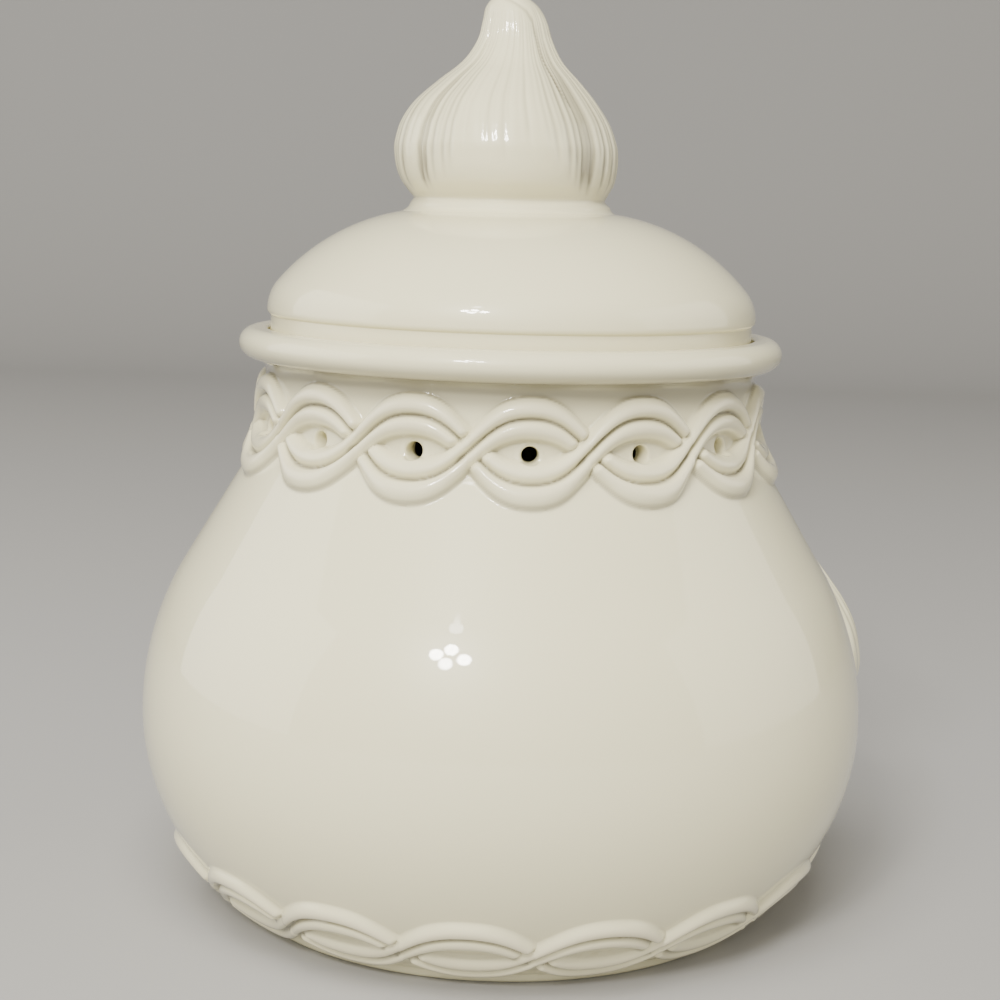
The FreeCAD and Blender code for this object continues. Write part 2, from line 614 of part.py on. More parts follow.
def lid_shell(body):
    """Dome, rolled edge, crease, band and locating flange, hollow underneath."""
    band = band_radius
    wall = size("lid_wall")
    wide = band + size("lid_overhang")
    wide_z = ledge + size("lid_widest")
    roll = size("lid_roll")
    edge = size("lid_edge")
    dome = size("lid_dome")
    land = size("knob_seat_radius")
    flange = size("neck_radius") - size("wall") - size("flange_fit")
    bore = flange - size("flange_wall")
    deep = ledge - size("flange_depth")
    root = ledge + size("flange_root")

    # centre of the dome's arc: it passes through the edge of the knob's seat and runs on from the edge arc
    edge_x = wide - edge
    gap = math.hypot(edge_x - land, wide_z - knob_seat)
    bearing = math.atan2(wide_z - knob_seat, edge_x - land)
    reach = dome - edge
    swing = math.acos((dome ** 2 + gap ** 2 - reach ** 2) / (2 * dome * gap))
    dome_x = land + dome * math.cos(bearing - swing)
    dome_z = knob_seat + dome * math.sin(bearing - swing)
    join = math.degrees(math.atan2(wide_z - dome_z, edge_x - dome_x))
    last = math.degrees(math.atan2(knob_seat - dome_z, land - dome_x))
    crease = math.degrees(math.acos((band - wide + roll) / roll))
    roof = knob_seat - wall
    inner_last = math.degrees(math.asin((roof - dome_z) / (dome - wall)))
    roof_x = dome_x + (dome - wall) * math.cos(math.radians(inner_last))

    o = Outline(body, "lid_sketch")
    seat = o.line(0, knob_seat, land, knob_seat)
    dome_out = o.arc(dome_x, dome_z, dome, join, last)
    edge_out = o.arc(edge_x, wide_z, edge, 0, join)
    roll_out = o.arc(wide - roll, wide_z, roll, -crease, 0)
    band_side = o.line(band, wide_z - roll * math.sin(math.radians(crease)), band, ledge)
    rest = o.line(band, ledge, flange, ledge)
    flange_out = o.line(flange, ledge, flange, deep)
    flange_end = o.line(flange, deep, bore, deep)
    flange_in = o.line(bore, deep, bore, root)
    haunch = o.line(bore, root, wide - wall, wide_z)
    edge_in = o.arc(edge_x, wide_z, edge - wall, 0, join)
    dome_in = o.arc(dome_x, dome_z, dome - wall, join, inner_last)
    ceiling = o.line(roof_x, roof, 0, roof)
    axis = o.line(0, roof, 0, knob_seat)
    o.join((seat, 2), (dome_out, 2), (roll_out, 1), (band_side, 1), (band_side, 2), (rest, 1),
           (rest, 2), (flange_out, 1), (flange_out, 2), (flange_end, 1), (flange_end, 2), (flange_in, 1),
           (flange_in, 2), (haunch, 1), (haunch, 2), (edge_in, 1), (dome_in, 2), (ceiling, 1),
           (ceiling, 2), (axis, 1), (axis, 2), (seat, 1), (edge_in, 3), (edge_out, 3),
           (dome_in, 3), (dome_out, 3))
    o.smooth((dome_out, 1), (edge_out, 2), (edge_out, 1), (roll_out, 2), (edge_in, 2), (dome_in, 1))
    o.on_axis(seat, 1)
    o.level(seat, rest, flange_end, ceiling)
    o.upright(band_side, flange_out, flange_in, axis)
    o.up(seat, 2, KNOB_SEAT)
    o.across(seat, 2, "Sizes.knob_seat_radius")
    o.radius(dome_out, "Sizes.lid_dome")
    o.radius(edge_out, "Sizes.lid_edge")
    o.across(edge_out, 1, "%s + Sizes.lid_overhang" % BAND)
    o.up(edge_out, 1, "%s + Sizes.lid_widest" % LEDGE)
    o.up(edge_out, 3, "%s + Sizes.lid_widest" % LEDGE)
    o.radius(roll_out, "Sizes.lid_roll")
    o.across(band_side, 1, BAND)
    o.up(rest, 1, LEDGE)
    o.across(flange_out, 1, FLANGE)
    o.up(flange_out, 2, "%s - Sizes.flange_depth" % LEDGE)
    o.across(flange_in, 1, "%s - Sizes.flange_wall" % FLANGE)
    o.up(flange_in, 2, "%s + Sizes.flange_root" % LEDGE)
    o.radius(edge_in, "Sizes.lid_edge - Sizes.lid_wall")
    o.up(edge_in, 1, "%s + Sizes.lid_widest" % LEDGE)
    o.up(ceiling, 1, "%s - Sizes.lid_wall" % KNOB_SEAT)
    return revolve(body, "PartDesign::Revolution", "lid_shell", o)


lid = DOC.addObject("PartDesign::Body", "lid")
lid.Label = "lid"
lid_shell(lid)

knob = DOC.addObject("Part::Feature", "garlic_knob")
knob.Label = "garlic_knob"
knob.Shape = knob_shape()
knob.Placement = FreeCAD.Placement(FreeCAD.Vector(size("knob_offset"), 0, knob_seat), FreeCAD.Rotation())
knob.setExpression("Placement.Base.x", "Sizes.knob_offset")
knob.setExpression("Placement.Base.z", KNOB_SEAT)

DOC.recompute()

# ---------------------------------------------------------------- checks and files

for thing in DOC.Objects:
    if "Invalid" in thing.State or "Error" in thing.State:
        raise RuntimeError("%s did not build: %s" % (thing.Name, thing.State))

os.makedirs("parts", exist_ok=True)
for node in (jar, neck_braid, foot_braid, sprig, lid, knob):
    shape = node.Shape
    if shape.isNull() or not shape.isValid():
        raise RuntimeError("%s has no valid shape" % node.Label)
    box = shape.BoundBox
    print("%-14s solids %2d  volume %9.1f  z %6.2f to %6.2f  x %6.2f to %6.2f" % (
        node.Label, len(shape.Solids), shape.Volume, box.ZMin, box.ZMax, box.XMin, box.XMax))
    shape.exportStep("parts/%s.step" % node.Label)
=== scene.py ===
import math
import random

import bmesh
import bpy
from mathutils import Matrix, Vector


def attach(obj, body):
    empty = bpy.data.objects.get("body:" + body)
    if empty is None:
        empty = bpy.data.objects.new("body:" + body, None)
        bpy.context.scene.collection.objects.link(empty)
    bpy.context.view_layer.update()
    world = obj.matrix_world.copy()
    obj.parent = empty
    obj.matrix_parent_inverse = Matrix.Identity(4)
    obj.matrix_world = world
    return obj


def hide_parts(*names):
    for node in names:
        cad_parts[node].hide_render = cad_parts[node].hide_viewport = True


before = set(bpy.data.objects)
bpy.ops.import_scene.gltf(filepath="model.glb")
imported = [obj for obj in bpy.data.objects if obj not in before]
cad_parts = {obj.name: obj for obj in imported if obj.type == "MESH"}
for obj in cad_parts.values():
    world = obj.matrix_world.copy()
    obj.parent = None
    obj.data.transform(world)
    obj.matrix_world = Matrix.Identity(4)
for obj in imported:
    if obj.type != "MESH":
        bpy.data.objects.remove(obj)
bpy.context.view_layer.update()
mm = 0.001
print("frame loaded:", ", ".join(sorted(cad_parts)))


# Nodes of a tree, and numbers that flow between them. All angles on the jar run from -Y towards +X.

class Term:
    def __init__(self, bench, socket):
        self.bench = bench
        self.socket = socket

    def math(self, operation, *values):
        sockets = {i: value for i, value in enumerate(values)}
        return self.bench.add("ShaderNodeMath", {"operation": operation}, sockets)

    def __add__(self, other):
        return self.math("ADD", self, other)

    def __radd__(self, other):
        return self.math("ADD", other, self)

    def __sub__(self, other):
        return self.math("SUBTRACT", self, other)

    def __rsub__(self, other):
        return self.math("SUBTRACT", other, self)

    def __mul__(self, other):
        return self.math("MULTIPLY", self, other)

    def __rmul__(self, other):
        return self.math("MULTIPLY", other, self)

    def __truediv__(self, other):
        return self.math("DIVIDE", self, other)

    def __rtruediv__(self, other):
        return self.math("DIVIDE", other, self)

    def __pow__(self, other):
        return self.math("POWER", self, other)

    def __neg__(self):
        return self.math("MULTIPLY", self, -1.0)

    def __abs__(self):
        return self.math("ABSOLUTE", self)

    def floor(self):
        return self.math("FLOOR", self)

    def sin(self):
        return self.math("SINE", self)

    def cos(self):
        return self.math("COSINE", self)

    def power(self):
        return self.math("EXPONENT", self)

    def root(self):
        return self.math("SQRT", self)

    def atLeast(self, other):
        return self.math("MAXIMUM", self, other)

    def atMost(self, other):
        return self.math("MINIMUM", self, other)

    def above(self, other):
        return self.math("GREATER_THAN", self, other)

    def blend(self, other, soft):  # the higher of two surfaces, with a fillet where they meet
        return self.math("SMOOTH_MAX", self, other, soft)

    def ramp(self, low, high):  # 0 below low, 1 above high, smooth between
        sockets = {"Value": self, "From Min": low, "From Max": high}
        return self.bench.add("ShaderNodeMapRange", {"interpolation_type": "SMOOTHSTEP"}, sockets)


class Bench:
    def __init__(self, tree):
        self.tree = tree

    def add(self, kind, settings={}, sockets={}, out=0):
        node = self.tree.nodes.new(kind)
        for name, value in settings.items():
            setattr(node, name, value)
        for key, value in sockets.items():
            if isinstance(value, Term):
                self.tree.links.new(value.socket, node.inputs[key])
            else:
                node.inputs[key].default_value = value
        return Term(self, node.outputs[out])

    def also(self, term, out):  # another output of the node behind a term
        return Term(self, term.socket.node.outputs[out])


# The camera, its place in millimetres and its angles in degrees.

view = {"lens": 71.96, "place": (0.0, -463.4, 165.1), "down": 8.67, "turn": -0.18, "roll": 1.57}


def aimCamera():
    down, turn, roll = (math.radians(view[key]) for key in ("down", "turn", "roll"))
    look = Vector((math.sin(turn) * math.cos(down), math.cos(turn) * math.cos(down), -math.sin(down)))
    level = Vector((math.cos(turn), -math.sin(turn), 0))
    upright = level.cross(look)
    right = level * math.cos(roll) + upright * math.sin(roll)
    top = upright * math.cos(roll) - level * math.sin(roll)
    lens = bpy.data.cameras.new("camera")
    lens.lens = view["lens"]
    lens.sensor_width = 36
    lens.clip_start = 0.01
    camera = bpy.data.objects.new("camera", lens)
    place = Matrix((right, top, -look)).transposed().to_4x4()
    place.translation = Vector(view["place"]) * mm
    camera.matrix_world = place
    bpy.context.scene.collection.objects.link(camera)
    bpy.context.scene.camera = camera


aimCamera()
print("camera placed")


# One ivory glaze covers everything but the floor.

glaze = {
    "body": (0.790, 0.746, 0.500),
    "thin": (0.820, 0.757, 0.532),      # on ridges, where the glaze has run off
    "pooledAndShaded": (0.170, 0.150, 0.095),    # glaze pooled in furrows and round the strands, and painted shade in the furrows, under the strands and in the cove
    "cloud": 0.30,                      # how far one patch differs from the next
    "cloudScale": 16.0,
    "peel": 0.045,                      # orange peel
    "peelScale": 420.0,
    "wave": 0.10,                       # the slow unevenness of a thick coat
    "waveScale": 38.0,
    "bumpDepth": 0.0006,
    "pinhole": (0.16, 0.12, 0.09),
    "pinholeScale": 46.0,
    "pinholeShare": 0.045,              # of the cells, as many have a pinhole
    "rough": 0.32, "coatRough": 0.035,
}


def mixColours(bench, share, first, second):
    return bench.add("ShaderNodeMix", {"data_type": "RGBA"}, {0: share, 6: first, 7: second}, 2)


def mixGlaze():
    material = bpy.data.materials.new("ivoryGlaze")
    material.use_nodes = True
    tree = material.node_tree
    tree.nodes.clear()
    bench = Bench(tree)
    where = bench.add("ShaderNodeTexCoord", out=3)
    # The attribute read here carries glaze pooling and painted shade, in grooves, under the strands and the
    # rim roll, and in the cove; recess mixes in the dark colour for both.
    poolShade = bench.add("ShaderNodeAttribute", {"attribute_name": "poolShade"}, out=2)
    cloud = bench.add("ShaderNodeTexNoise", {}, {
        "Vector": where, "Scale": glaze["cloudScale"], "Detail": 3.0})
    shift = (cloud - 0.5) * glaze["cloud"]
    recess = (poolShade + shift * 0.5).ramp(0.05, 1.5)
    ridge = (shift * 0.8 - poolShade).ramp(0.05, 0.95)
    colour = mixColours(bench, recess, (*glaze["body"], 1), (*glaze["pooledAndShaded"], 1))
    colour = mixColours(bench, ridge, colour, (*glaze["thin"], 1))
    cells = bench.add("ShaderNodeTexVoronoi", {}, {"Vector": where, "Scale": glaze["pinholeScale"]})
    chance = bench.add("ShaderNodeSeparateColor", {}, {0: bench.also(cells, 1)})
    speck = (1 - cells.ramp(0.010, 0.022)) * chance.above(1 - glaze["pinholeShare"])
    colour = mixColours(bench, speck, colour, (*glaze["pinhole"], 1))
    peel = bench.add("ShaderNodeTexNoise", {}, {"Vector": where, "Scale": glaze["peelScale"], "Detail": 1.0})
    wave = bench.add("ShaderNodeTexNoise", {}, {"Vector": where, "Scale": glaze["waveScale"], "Detail": 1.0})
    relief = peel * glaze["peel"] + wave * glaze["wave"] - speck * 0.3
    bump = bench.add("ShaderNodeBump", {}, {
        "Strength": 1.0, "Distance": glaze["bumpDepth"], "Height": relief})
    rough = glaze["rough"] + cloud * 0.10 + speck * 0.3
    shader = bench.add("ShaderNodeBsdfPrincipled", {}, {
        "Base Color": colour, "Roughness": rough, "Normal": bump,
        "IOR": 1.5, "Coat Weight": 1.0, "Coat Roughness": glaze["coatRough"], "Coat IOR": 1.52,
    })
    end = tree.nodes.new("ShaderNodeOutputMaterial")
    tree.links.new(shader.socket, end.inputs["Surface"])
    return material


ivoryGlaze = mixGlaze()
print("glaze mixed")


# Outlines are points (radius, height) in millimetres.

def arc(centre, radius, first, last, pitch=0.9):
    span = math.radians(last - first)
    count = max(2, math.ceil(abs(span) * radius / pitch))
    angles = [math.radians(first) + span * i / count for i in range(count + 1)]
    return [(centre[0] + radius * math.cos(a), centre[1] + radius * math.sin(a)) for a in angles]


def run(start, end, pitch=1.2):
    count = max(1, math.ceil(math.dist(start, end) / pitch))
    return [(start[0] + (end[0] - start[0]) * i / count, start[1] + (end[1] - start[1]) * i / count)
            for i in range(count + 1)]


def chain(*parts):
    points = []
    for part in parts:
        for point in part:
            if not points or math.dist(points[-1], point) > 0.004:
                points.append(point)
    return points


def within(value, most=1.0):
    return min(most, max(0.0, value))


def plainPiece(name, bm, body, node, crease=35):
    bmesh.ops.recalc_face_normals(bm, faces=bm.faces)
    if bm.calc_volume(signed=True) < 0:
        bmesh.ops.reverse_faces(bm, faces=bm.faces)
    mesh = bpy.data.meshes.new(name)
    bm.to_mesh(mesh)
    bm.free()
    mesh.shade_smooth()
    mesh.set_sharp_from_angle(angle=math.radians(crease))
    mesh.materials.append(ivoryGlaze)
    piece = bpy.data.objects.new(name, mesh)
    bpy.context.scene.collection.objects.link(piece)
    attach(piece, body)
    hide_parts(node)
    mesh.calc_loop_triangles()
    print(name, "made,", len(mesh.loop_triangles), "triangles")
    return piece


def lathe(outline, columns, closed, pooledAndShaded=None):
    bm = bmesh.new()
    layer = bm.verts.layers.float.new("poolShade")
    rings = []
    for radius, height in outline:
        if radius < 0.01:
            rings.append([bm.verts.new((0, 0, height * mm))])
            continue
        ring = []
        for i in range(columns):
            a = 2 * math.pi * i / columns
            ring.append(bm.verts.new((radius * math.sin(a) * mm, -radius * math.cos(a) * mm, height * mm)))
        for vert in ring:
            vert[layer] = pooledAndShaded(radius, height) if pooledAndShaded else 0.0
        rings.append(ring)
    pairs = list(zip(rings, rings[1:]))
    if closed:
        pairs.append((rings[-1], rings[0]))
    for low, high in pairs:
        for i in range(columns):
            j = (i + 1) % columns
            corners = [low[i % len(low)], low[j % len(low)], high[j % len(high)], high[i % len(high)]]
            corners = list(dict.fromkeys(corners))
            if len(corners) > 2:
                bm.faces.new(corners)
    return bm


pot = {
    "columns": 320,
    "foot": 60.0, "footEdge": 1.0,       # the foot ring outside, and the round of its edge
    "footStart": 57.1,                   # degrees below level where the wall leaves the foot ring
    "ringInside": 51.4, "recessEdge": 49.4, "recess": 2.6, "soft": 0.4,
    "lowerCentre": (31.67, 46.0), "lowerRadius": 52.33,
    "shoulderCentre": (17.0, 46.0), "shoulderRadius": 67.0, "lean": 31.0,
    "coneStart": 80.5,
    "sweepCentre": (78.3, 116.8), "sweepRadius": 22.0,
    "coveCentre": (59.3, 124.3), "cove": 3.0, "coveEnd": 92.7,
    "wall": 5.0, "floor": 7.6, "floorRound": 6.0,
    "footBand": (56.38, 29.22),          # degrees below level at the foot plait's two edges
    "footMiddle": 10.3,                  # height of that plait's middle
    "bandDepth": 1.8, "bandBack": 1.6,   # the pot steps in behind it, the plait's back a little less
    "neckSeam": 98.8,
    "rimSeam": 127.3,
}
belly = pot["lowerCentre"][1]            # height of the widest place
axisShift = pot["shoulderCentre"][0]
footAngle = math.asin((belly - pot["footMiddle"]) / pot["lowerRadius"])
lean = math.radians(pot["lean"])


def coneRadius(height, inset=0.0):
    edge = axisShift + (pot["shoulderRadius"] - inset) * math.cos(lean)
    start = belly + (pot["shoulderRadius"] - inset) * math.sin(lean)
    return edge - (height - start) * math.tan(lean)


def makePot():
    low, high = pot["footBand"]
    wall = pot["wall"]
    seam = pot["neckSeam"]
    soft = pot["soft"]
    recess, recessEdge, ringInside = pot["recess"], pot["recessEdge"], pot["ringInside"]
    foot, footEdge = pot["foot"], pot["footEdge"]
    start = pot["coneStart"]
    outer = chain(
        [(0.0, recess)], run((2.0, recess), (recessEdge, recess), 6.0),
        arc((recessEdge, recess - soft), soft, 90, 20, 0.2), [(ringInside - 0.54, soft)],
        arc((ringInside, soft), soft, 180, 270, 0.2), run((ringInside, 0.0), (foot - footEdge, 0.0), 2.0),
        arc((foot - footEdge, footEdge), footEdge, -90, 0, 0.25), run((foot, footEdge), (foot, 1.8), 0.3),
        [(foot + 0.06, 2.02)],
        arc(pot["lowerCentre"], pot["lowerRadius"], -pot["footStart"], -low, 0.3),
        arc(pot["lowerCentre"], pot["lowerRadius"] - pot["bandDepth"], -low, -high, 2.0),
        arc(pot["lowerCentre"], pot["lowerRadius"], -high, 0, 0.8),
        arc(pot["shoulderCentre"], pot["shoulderRadius"], 0, pot["lean"], 0.9),
        run((coneRadius(start), start), (coneRadius(seam), seam), 1.0),
        run((coneRadius(seam), seam), (coneRadius(seam, wall), seam), 2.5),
    )
    lower = pot["lowerRadius"] - wall
    floor, corner = pot["floor"], pot["floorRound"]
    drop = belly - floor - corner
    reach = pot["lowerCentre"][0] + math.sqrt((lower - corner) ** 2 - drop ** 2)
    slope = math.degrees(math.asin(drop / (lower - corner)))
    shoulder = pot["shoulderRadius"] - wall
    inner = chain(
        run((coneRadius(seam, wall), seam),
            (axisShift + shoulder * math.cos(lean), belly + shoulder * math.sin(lean)), 2.0),
        arc(pot["shoulderCentre"], shoulder, pot["lean"], 0, 2.0),
        arc(pot["lowerCentre"], lower, 0, -slope, 1.8),
        arc((reach, floor + corner), corner, -slope, -90, 0.9),
        run((reach, floor), (3.0, floor), 6.0), [(0.0, floor)],
    )
    return plainPiece("jarPot", lathe(chain(outer, inner), pot["columns"], False), "jar_body", "jar")


makePot()


rim = {
    "columns": 360,
    "rollCentre": (59.0, 130.7), "roll": 3.4, "rollStart": -87.3, "top": 134.1,
    "gallery": 55.9, "lip": 133.3, "lipRound": 0.8,   # the lid's band drops in here
    "ledge": 132.3, "ledgeRound": 0.6,
    "bore": 51.3, "seamOutside": 59.16,
    "shadeTop": 131.8, "shadeSpan": 4.4, "shadeMost": 0.95,
}


def makeRim():
    seam = pot["rimSeam"]
    middle, top = rim["rollCentre"][0], rim["top"]
    gallery, lip, lipRound = rim["gallery"], rim["lip"], rim["lipRound"]
    ledge, soft, bore = rim["ledge"], rim["ledgeRound"], rim["bore"]
    outline = chain(
        arc(rim["rollCentre"], rim["roll"], rim["rollStart"], 90, 0.28),
        run((middle, top), (gallery + lipRound, top), 0.6),
        arc((gallery + lipRound, lip), lipRound, 90, 180, 0.2), run((gallery, lip), (gallery, ledge), 0.5),
        run((gallery, ledge), (bore + soft, ledge), 1.3),
        arc((bore + soft, ledge - soft), soft, 90, 180, 0.2),
        run((bore, ledge - soft), (bore, seam), 1.2), run((bore, seam), (rim["seamOutside"], seam), 2.6),
    )[:-1]

    def shadeUnderRoll(radius, height):  # painted shade: the lower side of the roll is darkened
        share = (rim["shadeTop"] - height) / rim["shadeSpan"]
        return within(share, rim["shadeMost"]) if radius > middle - 2 else 0.0

    return plainPiece("jarRim", lathe(outline, rim["columns"], True, shadeUnderRoll), "jar_body", "jar")


makeRim()


# The same weave runs round the neck and the foot; lengths are measured up the wall.

# Pool scales the glaze pooling and painted shade on a plait; Cove scales the painted shade in the cove under
# the rim.
plaits = {
    "neck": {
        "Eyes": 14, "Eye Angle": 4.5, "Columns": 72, "Rows": 84, "Swing": 6.9, "Middle": 113.1,
        "By Height": 1.0, "Hole": 6.0, "Blend To": 17.0, "Vent Height": 112.35, "Drift": 2.1,
        "Rise": 2.6, "Width": 7.9, "Fillet": 0.85, "Sink": 0.5, "Furrow": 0.30, "Pool Shade": 1.0,
        "Cove Shade": 0.95,
    },
    "foot": {
        "Eyes": 16, "Eye Angle": -4.3, "Columns": 62, "Rows": 88, "Swing": 6.9, "Middle": 0.0,
        "By Height": 0.0, "Hole": 0.0, "Blend To": 0.001, "Vent Height": 0.0, "Drift": 0.0,
        "Rise": 1.8, "Width": 7.9, "Fillet": 1.0, "Sink": 1.2, "Furrow": 0.38, "Pool Shade": 1.6,
        "Cove Shade": 0.0,
    },
}

# One strand is two cords side by side. Shares are of half its width or of its height.
cords = {
    "sunk": 0.7,                         # how far its section reaches below the wall, in millimetres
    "crest": 0.5, "roundness": 0.64, "outerSides": (0.80, 0.70),
    "innerSides": (0.78, 0.64), "innerSpread": 0.45, "innerHeight": 0.94,
    "groove": 1.9,                       # the higher, the narrower
    "end": 2.0, "endDrop": 0.72, "endRound": 0.6,
    "broad": 0.22,                       # humps are broader than a sine's
    "unevenPath": 0.5, "unevenHeight": 0.2, "unevenSeed": 3.7, "driftStart": 0.19,
    "lowerFade": 2.2, "upperFade": 2.4,
}
# A low, thin rim round each vent, in millimetres.
ventLip = {"cell": 0.41, "radius": 2.95, "width": 0.55, "rise": 0.14}
# How dark the glaze pools and how dark the painted shade is: in low places, in grooves, under the strands and
# in the cove under the rim.
poolAndShadeDepth = {"low": 0.46, "lowMost": 0.3, "groove": 0.85, "grooveNarrow": 1.8, "under": 0.8, "most": 1.1,
          "coveFrom": 118.0, "coveTo": 125.0}


def plaitTree():
    tree = bpy.data.node_groups.new("plait", "GeometryNodeTree")
    tree.is_modifier = True
    inputs = [("Profile", "Geometry"), ("Eyes", "Float"), ("Eye Angle", "Float"), ("Columns", "Float"),
              ("Rows", "Float"), ("Row Low", "Float"), ("Row High", "Float"), ("Vent Row", "Float"),
              ("Vent Length", "Float"), ("Middle Length", "Float"), ("Middle", "Float"), ("Length", "Float"),
              ("By Height", "Float"), ("Hole", "Float"), ("Blend To", "Float"), ("Swing", "Float"),
              ("Width", "Float"), ("Rise", "Float"), ("Drift", "Float"), ("Fillet", "Float"),
              ("Sink", "Float"), ("Furrow", "Float"), ("Pool Shade", "Float"), ("Cove Shade", "Float"),
              ("Material", "Material")]
    for name, kind in inputs:
        tree.interface.new_socket(name=name, in_out="INPUT", socket_type="NodeSocket" + kind)
    tree.interface.new_socket(name="Geometry", in_out="OUTPUT", socket_type="NodeSocketGeometry")
    bench = Bench(tree)
    entry = tree.nodes.new("NodeGroupInput")
    given = {name: Term(bench, entry.outputs[name]) for name, _ in inputs}
    degree = math.pi / 180
    eyes = given["Eyes"]
    columns = given["Columns"]
    rows = given["Rows"]
    swing = given["Swing"]
    half = given["Width"] * 0.5
    rise = given["Rise"]
    sunk = cords["sunk"] * rise.above(0.01)

    across = columns * eyes
    grid = bench.add("GeometryNodeMeshGrid", {}, {
        "Size X": across, "Size Y": rows, "Vertices X": across + 1, "Vertices Y": rows + 1})
    place = bench.add("GeometryNodeInputPosition")
    cell = bench.add("ShaderNodeSeparateXYZ", {}, {0: place})
    turn = cell / columns + eyes * 0.5
    eye = (turn + 0.00001).floor()
    i = (turn - eye - 0.5) * columns
    j = bench.also(cell, 1) + rows * 0.5 - given["Vent Row"]

    # squares of cells round each vent become rings
    square = abs(i).atLeast(abs(j))
    ring = (i * i + j * j + 0.000001).root()
    reach = square + (ring - square) * square.ramp(given["Hole"], given["Blend To"])
    x = i * reach / ring / columns
    step = j * reach / ring
    length = given["Vent Length"] + step.atMost(0.0) * given["Row Low"]
    length = length + step.atLeast(0.0) * given["Row High"]

    curve = bench.add("GeometryNodeMeshToCurve", {}, {0: given["Profile"]})
    sample = bench.add("GeometryNodeSampleCurve", {"mode": "LENGTH"}, {"Curves": curve, "Length": length}, 1)
    wall = bench.add("ShaderNodeSeparateXYZ", {}, {0: sample})
    along = bench.add("ShaderNodeSeparateXYZ", {}, {0: bench.also(sample, 2)})
    radius = wall
    height = bench.also(wall, 2)
    outR = bench.also(along, 2)
    outZ = -along

    # spaced by hand, so not quite evenly
    angle = (eye + x) * (2 * math.pi) / eyes + given["Eye Angle"] * degree
    angle = angle - (angle - cords["driftStart"]).sin() * given["Drift"] * degree
    sine = angle.sin()
    cosine = angle.cos()
    spot = bench.add("ShaderNodeCombineXYZ", {}, {0: sine * 2.2, 1: cosine * 2.2, 2: height * 0.02})
    drift = bench.add("ShaderNodeTexNoise", {"noise_dimensions": "4D"}, {
        "Vector": spot, "W": cords["unevenSeed"], "Scale": 1.0, "Detail": 2.0})
    drift = drift - 0.5

    byLength = length - given["Middle Length"]
    v = byLength + given["By Height"] * (height - given["Middle"] - byLength)
    v = v + drift * cords["unevenPath"]
    open = (x * math.pi).cos()
    open = open * (1 + cords["broad"] - open * open * cords["broad"])

    def cord(out, sides, spread=0.0):  # round in section, from the groove to its far side
        away = out - half * cords["crest"]
        share = away.atLeast(0.0) / (half * sides[1] + spread) - away.atMost(0.0) / (half * sides[0])
        return (1 - share * share).atLeast(0.0) ** cords["roundness"]

    def strand(out):  # out is the distance towards the plait's edge
        outerCord = cord(out, cords["outerSides"])
        innerCord = cord(-out, cords["innerSides"], open * cords["innerSpread"])
        both = outerCord.blend(innerCord * cords["innerHeight"], 0.22)
        return both - (out * out * -cords["groove"]).power() * given["Furrow"]

    def roundEnd(other):  # an end that dips under the strand that it meets
        left = 1 - ((abs(other) - half * 0.97) / cords["end"]).atLeast(0.0).atMost(1.0)
        return 1 - ((1 - left * left).atLeast(0.0) ** cords["endRound"])

    up = v - swing * open
    down = v + swing * open
    right = x.above(0.0)
    upper = strand(up) * (1 - right * roundEnd(down) * cords["endDrop"])
    lower = strand(-down) * (1 - (1 - right) * roundEnd(up) * cords["endDrop"])
    strands = upper.blend(lower, 0.12)
    swell = strands * (rise + sunk) * (1 + drift * cords["unevenHeight"]) - sunk
    inside = (swing * open - half * 0.6 - abs(v)).ramp(0.0, 3.2)
    ground = inside * given["Sink"] * -1
    lip = (reach * ventLip["cell"] - ventLip["radius"]) / ventLip["width"]
    lip = (1 - lip * lip).atLeast(0.0) * ventLip["rise"] * given["Hole"].above(0.5)
    relief = swell.blend(ground, given["Fillet"]) + lip - 0.01
    edge = length.ramp(0.0, cords["lowerFade"]) * (given["Length"] - length).ramp(0.0, cords["upperFade"])
    relief = relief * edge

    top = radius + outR * relief
    spun = bench.add("ShaderNodeCombineXYZ", {}, {
        0: top * sine * mm, 1: top * cosine * -mm, 2: (height + outZ * relief) * mm})

    # where the glaze pools, and painted shade in the grooves, under the strands and in the cove
    near = (swing * open + half + 1.6 - abs(v)).ramp(0.0, 2.0)
    front = (upper - lower).ramp(-0.08, 0.08)
    narrow = -poolAndShadeDepth["grooveNarrow"]
    furrow = (up * up * narrow).power() * front + (down * down * narrow).power() * (1 - front)
    furrow = furrow * (relief / rise).ramp(0.0, 0.30)

    def underside(across):  # painted shade on the wall just below a strand
        away = across + half * 0.92
        return (away * away * -0.6).power() * (1 - relief.ramp(0.6, 2.2))

    # painted shade in the cove under the rim
    cove = height.ramp(poolAndShadeDepth["coveFrom"], poolAndShadeDepth["coveTo"]) * (1 - relief.ramp(0.4, 1.4))
    shade = underside(up).atLeast(underside(down))
    poolShade = (poolAndShadeDepth["low"] - relief / rise).atMost(poolAndShadeDepth["lowMost"]) * near + furrow * poolAndShadeDepth["groove"]
    poolShade = ((poolShade + shade * poolAndShadeDepth["under"]) * given["Pool Shade"]).atMost(poolAndShadeDepth["most"]) * edge
    poolShade = poolShade + given["Cove Shade"] * cove

